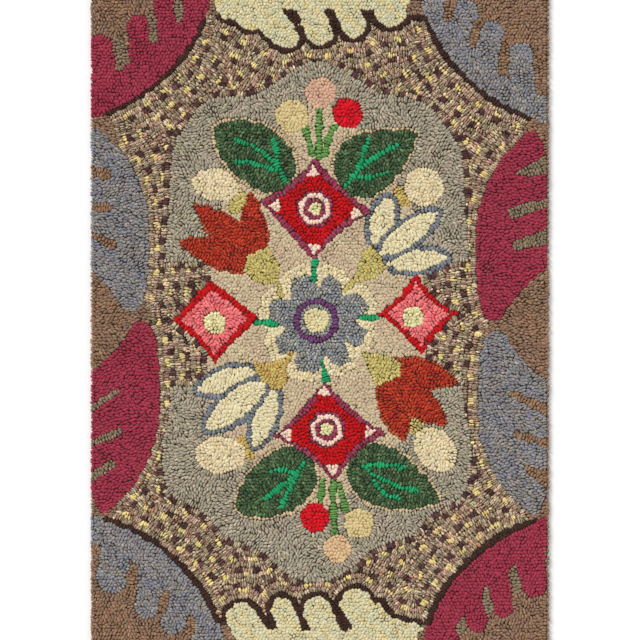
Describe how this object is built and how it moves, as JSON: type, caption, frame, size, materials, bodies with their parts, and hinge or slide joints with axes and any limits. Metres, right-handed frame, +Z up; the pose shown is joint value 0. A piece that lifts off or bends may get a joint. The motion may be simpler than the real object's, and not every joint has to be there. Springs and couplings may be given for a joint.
{
  "type": "hooked rug",
  "caption": "Flat rectangular hooked rug of looped wool on burlap, with a flower medallion and scroll border, made to lie on a floor.",
  "frame": {"origin": "on the flat underside, below the middle of the rug", "axes": "+X across the rug, +Y along it towards the end at the top of the picture, +Z up out of the pile"},
  "size_m": [0.61, 0.914, 0.0083],
  "materials": {
    "hooked_wool": "matte wool loops in heathered browns, greys, red, blue, green and cream, hooked through natural burlap"
  },
  "bodies": {
    "root": {"hooked_rug": "hooked_wool"}
  },
  "joints": []
}
